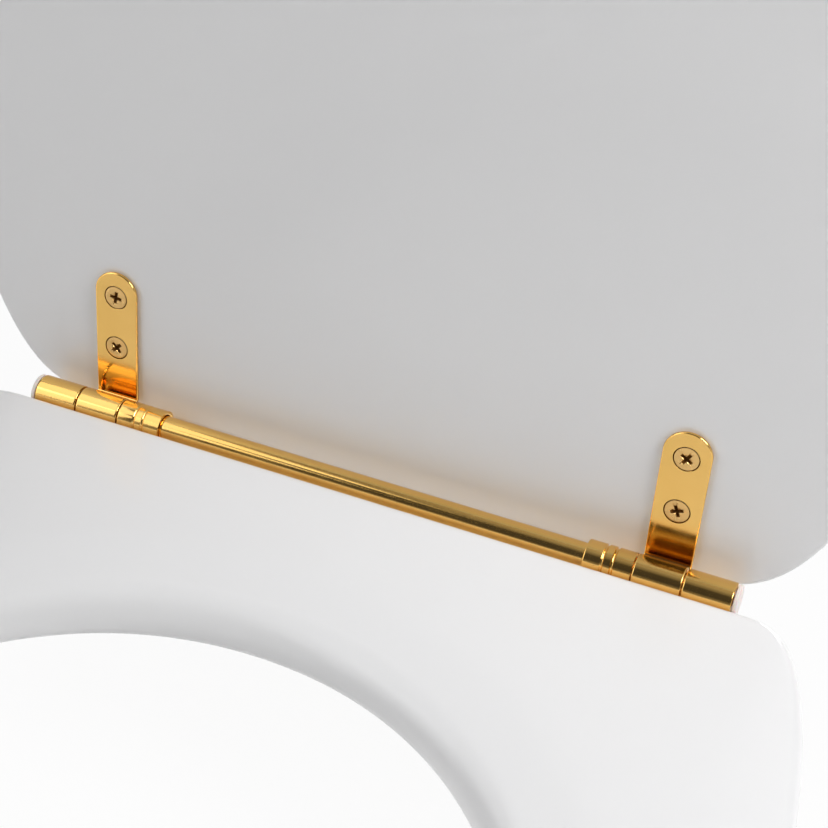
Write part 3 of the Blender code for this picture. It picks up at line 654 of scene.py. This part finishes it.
def make_screws(material):
    """Each head is flush with the face of its leaf. The recesses point every way, as screws do."""
    template = screw_object(material)
    for prefix, place, leaf_x, level, reaches in (
        ("lid", LID_PLACE, LID_LEAF_X, LID_BOTTOM - GAP - SHEET, LID_SCREW_REACHES),
        ("seat", SEAT_PLACE, SEAT_LEAF_X, SEAT_BOTTOM - GAP - SHEET, SEAT_SCREW_REACHES),
    ):
        for side_name, side in SIDES.items():
            for spot, reach in reaches.items():
                node = f"{prefix}_screw_{side_name}_{spot}"
                piece = bpy.data.objects.new(node + "_fine", template.data)
                bpy.context.scene.collection.objects.link(piece)
                piece.matrix_world = (
                    place
                    @ Matrix.Translation((side * leaf_x, -reach, level))
                    @ Matrix.Rotation(SCREW_TURNS[spot] + side * SCREW_SIDE_TURN, 4, "Z")
                )
                finish_normals(piece)
                stand_for(piece, prefix, "gold_screw", node)
    bpy.data.objects.remove(template, do_unlink=True)


# Rod, posts and caps


ALONG_X = Matrix.Rotation(math.pi / 2, 4, "Y")


def make_rod(material):
    """The rod through all the sleeves, with softened ends."""
    half = ROD_HALF
    profile = eased([(0, half), (ROD_RADIUS, half), (ROD_RADIUS, -half), (0, -half)], ROD_EASING)
    piece = new_piece("rod_polished", turned_bmesh(profile), material, Matrix.Translation(HINGE) @ ALONG_X)
    stand_for(piece, "base", "polished_gold", "hinge_rod")


def groove(centre, steps=6):
    """A round-bottomed groove across a sleeve, as profile points from high to low."""
    points = []
    for i in range(steps + 1):
        across = 1 - 2 * i / steps
        points.append((HEAD_RADIUS - GROOVE_DEPTH * (1 - across**2), centre + across * GROOVE_WIDTH / 2))
    return points


def make_posts(material):
    """A grooved head on the rod, joined to a pillar with a flange."""
    half = SLEEVE_LENGTH / 2
    bore = ROD_RADIUS + GAP
    outline = [(bore, -half), (bore, half), (HEAD_RADIUS, half)]
    sleeve = eased(outline, HEAD_EASING)[1:]
    sleeve += groove(GROOVE_SPACING / 2) + groove(-GROOVE_SPACING / 2)
    sleeve += eased([(HEAD_RADIUS, -GROOVE_SPACING), (HEAD_RADIUS, -half), (bore, -half)], HEAD_EASING)[1:]
    top = HINGE.z - ROD_RADIUS - GAP - PILLAR_TOP_DROP
    flange_top = FLANGE_BOTTOM + FLANGE_THICKNESS
    pillar = eased([
        (0, top),
        (PILLAR_RADIUS, top),
        (PILLAR_RADIUS, flange_top),
        (FLANGE_RADIUS, flange_top),
        (FLANGE_RADIUS, FLANGE_BOTTOM),
        (0, FLANGE_BOTTOM),
    ], PILLAR_EASING, 6)
    for side_name, side in SIDES.items():
        x = side * POST_X
        piece = new_piece(
            f"post_polished_{side_name}",
            turned_bmesh(sleeve),
            material,
            Matrix.Translation((x, 0, HINGE.z)) @ ALONG_X,
        )
        stem = new_piece("stem", turned_bmesh(pillar), material, Matrix.Translation((x, 0, 0)))
        boolean(piece, stem, "UNION")
        stand_for(piece, "base", "polished_gold", f"post_{side_name}")


def make_caps(material):
    """A disc with a soft edge and a dimple, and a spigot that goes into the rod."""
    length = CAP_HIGH.x - CAP_LOW.x
    for side_name, side in SIDES.items():
        profile = eased([
            (0, CAP_THICKNESS - CAP_DIMPLE),
            (CAP_RADIUS * CAP_DIMPLE_FLOOR, CAP_THICKNESS - CAP_DIMPLE),
            (CAP_RADIUS * CAP_DIMPLE_EDGE, CAP_THICKNESS),
            (CAP_RADIUS, CAP_THICKNESS),
            (CAP_RADIUS, 0),
            (CAP_SPIGOT_RADIUS, 0),
            (CAP_SPIGOT_RADIUS, CAP_THICKNESS - length),
            (0, CAP_THICKNESS - length),
        ], CAP_EASING)
        outwards = Matrix.Rotation(side * math.pi / 2, 4, "Y")
        place = Matrix.Translation((side * (ROD_HALF + 2 * GAP), 0, HINGE.z)) @ outwards
        piece = new_piece(f"cap_nylon_{side_name}", turned_bmesh(profile), material, place)
        stand_for(piece, "base", "pale_nylon", f"end_cap_{side_name}")


# Materials


def new_material(name):
    material = bpy.data.materials.new(name)
    material.use_nodes = True
    tree = material.node_tree
    return material, tree, tree.nodes["Principled BSDF"]


def noise(tree, scale, detail=3.0):
    """Noise over the object's own coordinates, in metres, so that scale is cycles per metre."""
    coordinates = tree.nodes.new("ShaderNodeTexCoord")
    texture = tree.nodes.new("ShaderNodeTexNoise")
    texture.inputs["Scale"].default_value = scale
    texture.inputs["Detail"].default_value = detail
    tree.links.new(coordinates.outputs["Object"], texture.inputs["Vector"])
    return texture.outputs["Fac"]


def map_range(tree, source, from_low, from_high, low=0.0, high=1.0):
    """The source's values from from_low to from_high spread over low to high, and held at those ends."""
    node = tree.nodes.new("ShaderNodeMapRange")
    node.inputs["From Min"].default_value = from_low
    node.inputs["From Max"].default_value = from_high
    node.inputs["To Min"].default_value = low
    node.inputs["To Max"].default_value = high
    tree.links.new(source, node.inputs["Value"])
    return node.outputs["Result"]


def ramp(tree, source, low, high):
    """A noise's usual values, 0.3 to 0.7, spread over low to high."""
    return map_range(tree, source, 0.3, 0.7, low, high)


def height_of(tree, output):
    """The z of a texture coordinate."""
    coordinates = tree.nodes.new("ShaderNodeTexCoord")
    split = tree.nodes.new("ShaderNodeSeparateXYZ")
    tree.links.new(coordinates.outputs[output], split.inputs["Vector"])
    return split.outputs["Z"]


def two_colours(tree, source, colour_a, colour_b):
    """From the first colour to the second as the source goes from 0 to 1."""
    mix = tree.nodes.new("ShaderNodeMix")
    mix.data_type = "RGBA"
    mix.inputs["A"].default_value = (*colour_a, 1)
    mix.inputs["B"].default_value = (*colour_b, 1)
    tree.links.new(source, mix.inputs["Factor"])
    return mix.outputs["Result"]


def bump(tree, shader, source, distance):
    """Bump of the given height, in metres."""
    node = tree.nodes.new("ShaderNodeBump")
    node.inputs["Distance"].default_value = distance
    tree.links.new(source, node.inputs["Height"])
    tree.links.new(node.outputs["Normal"], shader.inputs["Normal"])


def lacquer():
    """Sprayed white lacquer: a hint of orange peel, and gloss that varies a little."""
    material, tree, shader = new_material("white_lacquer")
    tint = two_colours(tree, noise(tree, 9), (0.865, 0.863, 0.87), (0.885, 0.884, 0.888))
    tree.links.new(tint, shader.inputs["Base Color"])
    tree.links.new(ramp(tree, noise(tree, 30), 0.3, 0.36), shader.inputs["Roughness"])
    shader.inputs["Coat Weight"].default_value = 0.35
    shader.inputs["Coat Roughness"].default_value = 0.12
    bump(tree, shader, noise(tree, 320, 2), 0.00002)
    return material


def gold(name, colour_a, colour_b, smooth, rough):
    """Gold plating: uneven tone, a wiping haze and a fine grain left by the polishing."""
    material, tree, shader = new_material(name)
    tint = two_colours(tree, ramp(tree, noise(tree, 60), 0, 1), colour_a, colour_b)
    tree.links.new(tint, shader.inputs["Base Color"])
    shader.inputs["Metallic"].default_value = 1.0
    tree.links.new(ramp(tree, noise(tree, 220), smooth, rough), shader.inputs["Roughness"])
    bump(tree, shader, noise(tree, 900, 2), 0.000006)
    return material


def screw_gold():
    """Duller gold plating than the leaves', with painted shade in the recess and down the head's side: dark
    brown, not metallic and rougher there.
    """
    material = gold("gold_screw", (0.76, 0.48, 0.18), (0.86, 0.56, 0.22), 0.24, 0.34)
    tree = material.node_tree
    shader = tree.nodes["Principled BSDF"]
    tint = shader.inputs["Base Color"].links[0].from_socket
    # Painted shade: from just inside the head's face inwards the colour turns dark brown, the metal goes
    # and the gloss drops
    painted_shade = map_range(tree, height_of(tree, "Object"), SCREW_PAINTED_SHADE_FROM, SCREW_PAINTED_SHADE_FULL)
    mix = tree.nodes.new("ShaderNodeMix")
    mix.data_type = "RGBA"
    mix.inputs["B"].default_value = (0.2, 0.085, 0.02, 1)
    tree.links.new(tint, mix.inputs["A"])
    tree.links.new(painted_shade, mix.inputs["Factor"])
    tree.links.new(mix.outputs["Result"], shader.inputs["Base Color"])
    tree.links.new(map_range(tree, painted_shade, 0, 1, 1, 0), shader.inputs["Metallic"])
    shader.inputs["Specular IOR Level"].default_value = 0.0
    dull = tree.nodes.new("ShaderNodeMix")
    dull.inputs["B"].default_value = 0.65
    tree.links.new(painted_shade, dull.inputs["Factor"])
    tree.links.new(shader.inputs["Roughness"].links[0].from_socket, dull.inputs["A"])
    tree.links.new(dull.outputs["Result"], shader.inputs["Roughness"])
    return material


def nylon():
    """Milky nylon that lets a little light in."""
    material, tree, shader = new_material("pale_nylon")
    tint = two_colours(tree, noise(tree, 400), (0.80, 0.72, 0.67), (0.86, 0.79, 0.75))
    tree.links.new(tint, shader.inputs["Base Color"])
    tree.links.new(ramp(tree, noise(tree, 700), 0.35, 0.5), shader.inputs["Roughness"])
    shader.inputs["Subsurface Weight"].default_value = 0.25
    shader.inputs["Subsurface Scale"].default_value = 0.001
    bump(tree, shader, noise(tree, 1500), 0.00001)
    return material


def plain(name, colour_a, colour_b, smooth, rough, metallic, scale):
    """Rubber, soft plastic or plated steel: mottled tone, uneven gloss and a fine surface."""
    material, tree, shader = new_material(name)
    tint = two_colours(tree, ramp(tree, noise(tree, scale), 0, 1), colour_a, colour_b)
    tree.links.new(tint, shader.inputs["Base Color"])
    tree.links.new(ramp(tree, noise(tree, scale * 3), smooth, rough), shader.inputs["Roughness"])
    shader.inputs["Metallic"].default_value = metallic
    bump(tree, shader, noise(tree, scale * 8), 0.00003)
    return material


def finish_cad_nodes():
    """Materials for the CAD nodes that stay as they are."""
    rubber = plain("black_rubber", (0.03, 0.03, 0.03), (0.06, 0.058, 0.055), 0.6, 0.8, 0.0, 300)
    buffer = plain("soft_buffer", (0.78, 0.78, 0.75), (0.84, 0.84, 0.82), 0.3, 0.5, 0.0, 200)
    zinc = plain("zinc_steel", (0.55, 0.56, 0.58), (0.68, 0.68, 0.67), 0.28, 0.45, 1.0, 160)
    replaced = {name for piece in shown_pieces() for name in piece.get("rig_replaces", [])}
    for name, node in frame["nodes"].items():
        if name in replaced:
            continue
        if "buffer" in name:
            material = buffer
        elif name.startswith(("base_gasket", "lower_bush")):
            material = rubber
        else:
            material = zinc
        node.data.materials.clear()
        node.data.materials.append(material)
        shade(node.data)


# Studio

CAMERA_PLACE = Vector((0.16438, -0.39582, 0.35661))
CAMERA_AZIMUTH = math.radians(-20.87)
CAMERA_DIP = math.radians(35.21)
CAMERA_ROLL = math.radians(3.70)
CAMERA_LENS = 77.30
SENSOR = 36.0
FILL = 0.04
SKY = ((0.0, 1.0), (0.50, 0.8), (0.56, 0.3), (0.7, 0.05), (0.91, 0.06), (0.973, 0.26), (1.0, 0.4))
SUBJECT = (0, -0.1, 0)
FLOOR_RADIUS = 4.0
FLOOR_WHITE = 0.94
FLOOR_FADE_FROM = 0.15
FLOOR_FADE_TO = 0.9
FLOOR_DROP = 0.0001


def make_camera():
    """The photo's camera, fitted to the hinge, the straps and the boards' edges."""
    data = bpy.data.cameras.new("camera")
    data.sensor_width = SENSOR
    data.lens = CAMERA_LENS
    data.clip_start = 0.01
    camera = bpy.data.objects.new("camera", data)
    bpy.context.scene.collection.objects.link(camera)
    forward = Vector((
        math.sin(CAMERA_AZIMUTH) * math.cos(CAMERA_DIP),
        math.cos(CAMERA_AZIMUTH) * math.cos(CAMERA_DIP),
        -math.sin(CAMERA_DIP),
    ))
    right = forward.cross(Vector((0, 0, 1))).normalized()
    up = right.cross(forward)
    rolled = right * math.cos(CAMERA_ROLL) + up * math.sin(CAMERA_ROLL)
    rolled_up = up * math.cos(CAMERA_ROLL) - right * math.sin(CAMERA_ROLL)
    turn = Matrix((rolled, rolled_up, -forward)).transposed().to_4x4()
    camera.matrix_world = Matrix.Translation(CAMERA_PLACE) @ turn
    bpy.context.scene.camera = camera


def area_lamp(name, place, size, power):
    """A square lamp that faces the subject and that the camera doesn't see."""
    data = bpy.data.lights.new(name, "AREA")
    data.size = size
    data.energy = power
    lamp = bpy.data.objects.new(name, data)
    bpy.context.scene.collection.objects.link(lamp)
    lamp.location = place
    lamp.visible_camera = False
    lamp.rotation_euler = (Vector(SUBJECT) - Vector(place)).to_track_quat("-Z", "Y").to_euler()


def background(tree, strength):
    """A white background of the given strength."""
    node = tree.nodes.new("ShaderNodeBackground")
    node.inputs["Color"].default_value = (1, 1, 1, 1)
    node.inputs["Strength"].default_value = strength
    return node


def make_world():
    """White to the camera, a weak fill to the rest, and a sky with dark bands for the polished metal."""
    world = bpy.data.worlds.new("studio")
    bpy.context.scene.world = world
    world.use_nodes = True
    tree = world.node_tree
    tree.nodes.clear()
    out = tree.nodes.new("ShaderNodeOutputWorld")
    path = tree.nodes.new("ShaderNodeLightPath")
    sky = tree.nodes.new("ShaderNodeValToRGB")
    stops = sky.color_ramp.elements
    for position, level in SKY:
        if position == 0:
            stop = stops[0]
        elif position == 1:
            stop = stops[-1]
        else:
            stop = stops.new(position)
        stop.color = (level, level, level, 1)
    tree.links.new(map_range(tree, height_of(tree, "Generated"), -1, 1), sky.inputs["Fac"])
    fill = background(tree, FILL)
    glossy = background(tree, 1.0)
    tree.links.new(sky.outputs["Color"], glossy.inputs["Color"])
    white = background(tree, 1.0)
    first = tree.nodes.new("ShaderNodeMixShader")
    second = tree.nodes.new("ShaderNodeMixShader")
    tree.links.new(path.outputs["Is Glossy Ray"], first.inputs["Fac"])
    tree.links.new(fill.outputs["Background"], first.inputs[1])
    tree.links.new(glossy.outputs["Background"], first.inputs[2])
    tree.links.new(path.outputs["Is Camera Ray"], second.inputs["Fac"])
    tree.links.new(first.outputs["Shader"], second.inputs[1])
    tree.links.new(white.outputs["Background"], second.inputs[2])
    tree.links.new(second.outputs["Shader"], out.inputs["Surface"])


def floor_white():
    """Dull white that keeps a soft shadow.

    To the camera and in mirrors it is mostly plain white, and wholly so towards the disc's edge.
    """
    material, tree, shader = new_material("floor_white")
    tint = two_colours(tree, noise(tree, 4), (0.88, 0.88, 0.88), (0.9, 0.9, 0.9))
    tree.links.new(tint, shader.inputs["Base Color"])
    shader.inputs["Roughness"].default_value = 0.9
    glow = tree.nodes.new("ShaderNodeEmission")
    glow.inputs["Strength"].default_value = 1.0
    path = tree.nodes.new("ShaderNodeLightPath")
    either = tree.nodes.new("ShaderNodeMath")
    either.operation = "MAXIMUM"
    tree.links.new(path.outputs["Is Camera Ray"], either.inputs[0])
    tree.links.new(path.outputs["Is Glossy Ray"], either.inputs[1])
    coordinates = tree.nodes.new("ShaderNodeTexCoord")
    away = tree.nodes.new("ShaderNodeVectorMath")
    away.operation = "LENGTH"
    tree.links.new(coordinates.outputs["Object"], away.inputs[0])
    fade_from = FLOOR_RADIUS * FLOOR_FADE_FROM
    fade_to = FLOOR_RADIUS * FLOOR_FADE_TO
    whiter = map_range(tree, away.outputs["Value"], fade_from, fade_to, FLOOR_WHITE)
    share = tree.nodes.new("ShaderNodeMath")
    share.operation = "MULTIPLY"
    tree.links.new(either.outputs["Value"], share.inputs[0])
    tree.links.new(whiter, share.inputs[1])
    mix = tree.nodes.new("ShaderNodeMixShader")
    tree.links.new(share.outputs["Value"], mix.inputs["Fac"])
    tree.links.new(shader.outputs["BSDF"], mix.inputs[1])
    tree.links.new(glow.outputs["Emission"], mix.inputs[2])
    tree.links.new(mix.outputs["Shader"], tree.nodes["Material Output"].inputs["Surface"])
    return material


def make_floor():
    """A disc just under the studs."""
    bm = bmesh.new()
    bmesh.ops.create_circle(bm, cap_ends=True, segments=ROUND_STEPS, radius=FLOOR_RADIUS)
    mesh = bpy.data.meshes.new("floor")
    bm.to_mesh(mesh)
    bm.free()
    mesh.materials.append(floor_white())
    floor = bpy.data.objects.new("floor", mesh)
    bpy.context.scene.collection.objects.link(floor)
    floor.location.z = CAD_BOX[0].z - FLOOR_DROP


def make_lights():
    """Two soft boxes on the left, a small lamp on the right and one that reaches only the lid's back."""
    area_lamp("softbox", (-1.06, -0.42, 1.15), 1.2, 5.6)
    area_lamp("side", (-1.15, -0.9, 0.7), 1.2, 6.4)
    area_lamp("near", (0.53, -0.1, 0.53), 0.35, 3.9)
    area_lamp("back", (0, 1.5, 0.25), 0.8, 11)


def main():
    bpy.context.scene.view_settings.view_transform = "Standard"
    white = lacquer()
    metal = gold("polished_gold", (0.905, 0.553, 0.155), (0.935, 0.583, 0.178), 0.11, 0.16)
    head = screw_gold()
    make_seat(white)
    make_lid(white)
    make_rod(metal)
    make_posts(metal)
    for side_name, side in SIDES.items():
        make_leaf(
            f"lid_leaf_fine_{side_name}", f"lid_leaf_{side_name}", "lid", lid_runs(),
            side * LID_LEAF_X, LID_STRAP_LEVEL, LID_SCREW_REACHES.values(), LID_PLACE, metal,
        )
        make_leaf(
            f"seat_leaf_fine_{side_name}", f"seat_leaf_{side_name}", "seat", seat_runs(),
            side * SEAT_LEAF_X, SEAT_STRAP_LEVEL, SEAT_SCREW_REACHES.values(), SEAT_PLACE, metal,
        )
    make_screws(head)
    make_caps(nylon())
    finish_cad_nodes()
    make_world()
    make_floor()
    make_lights()
    make_camera()


main()
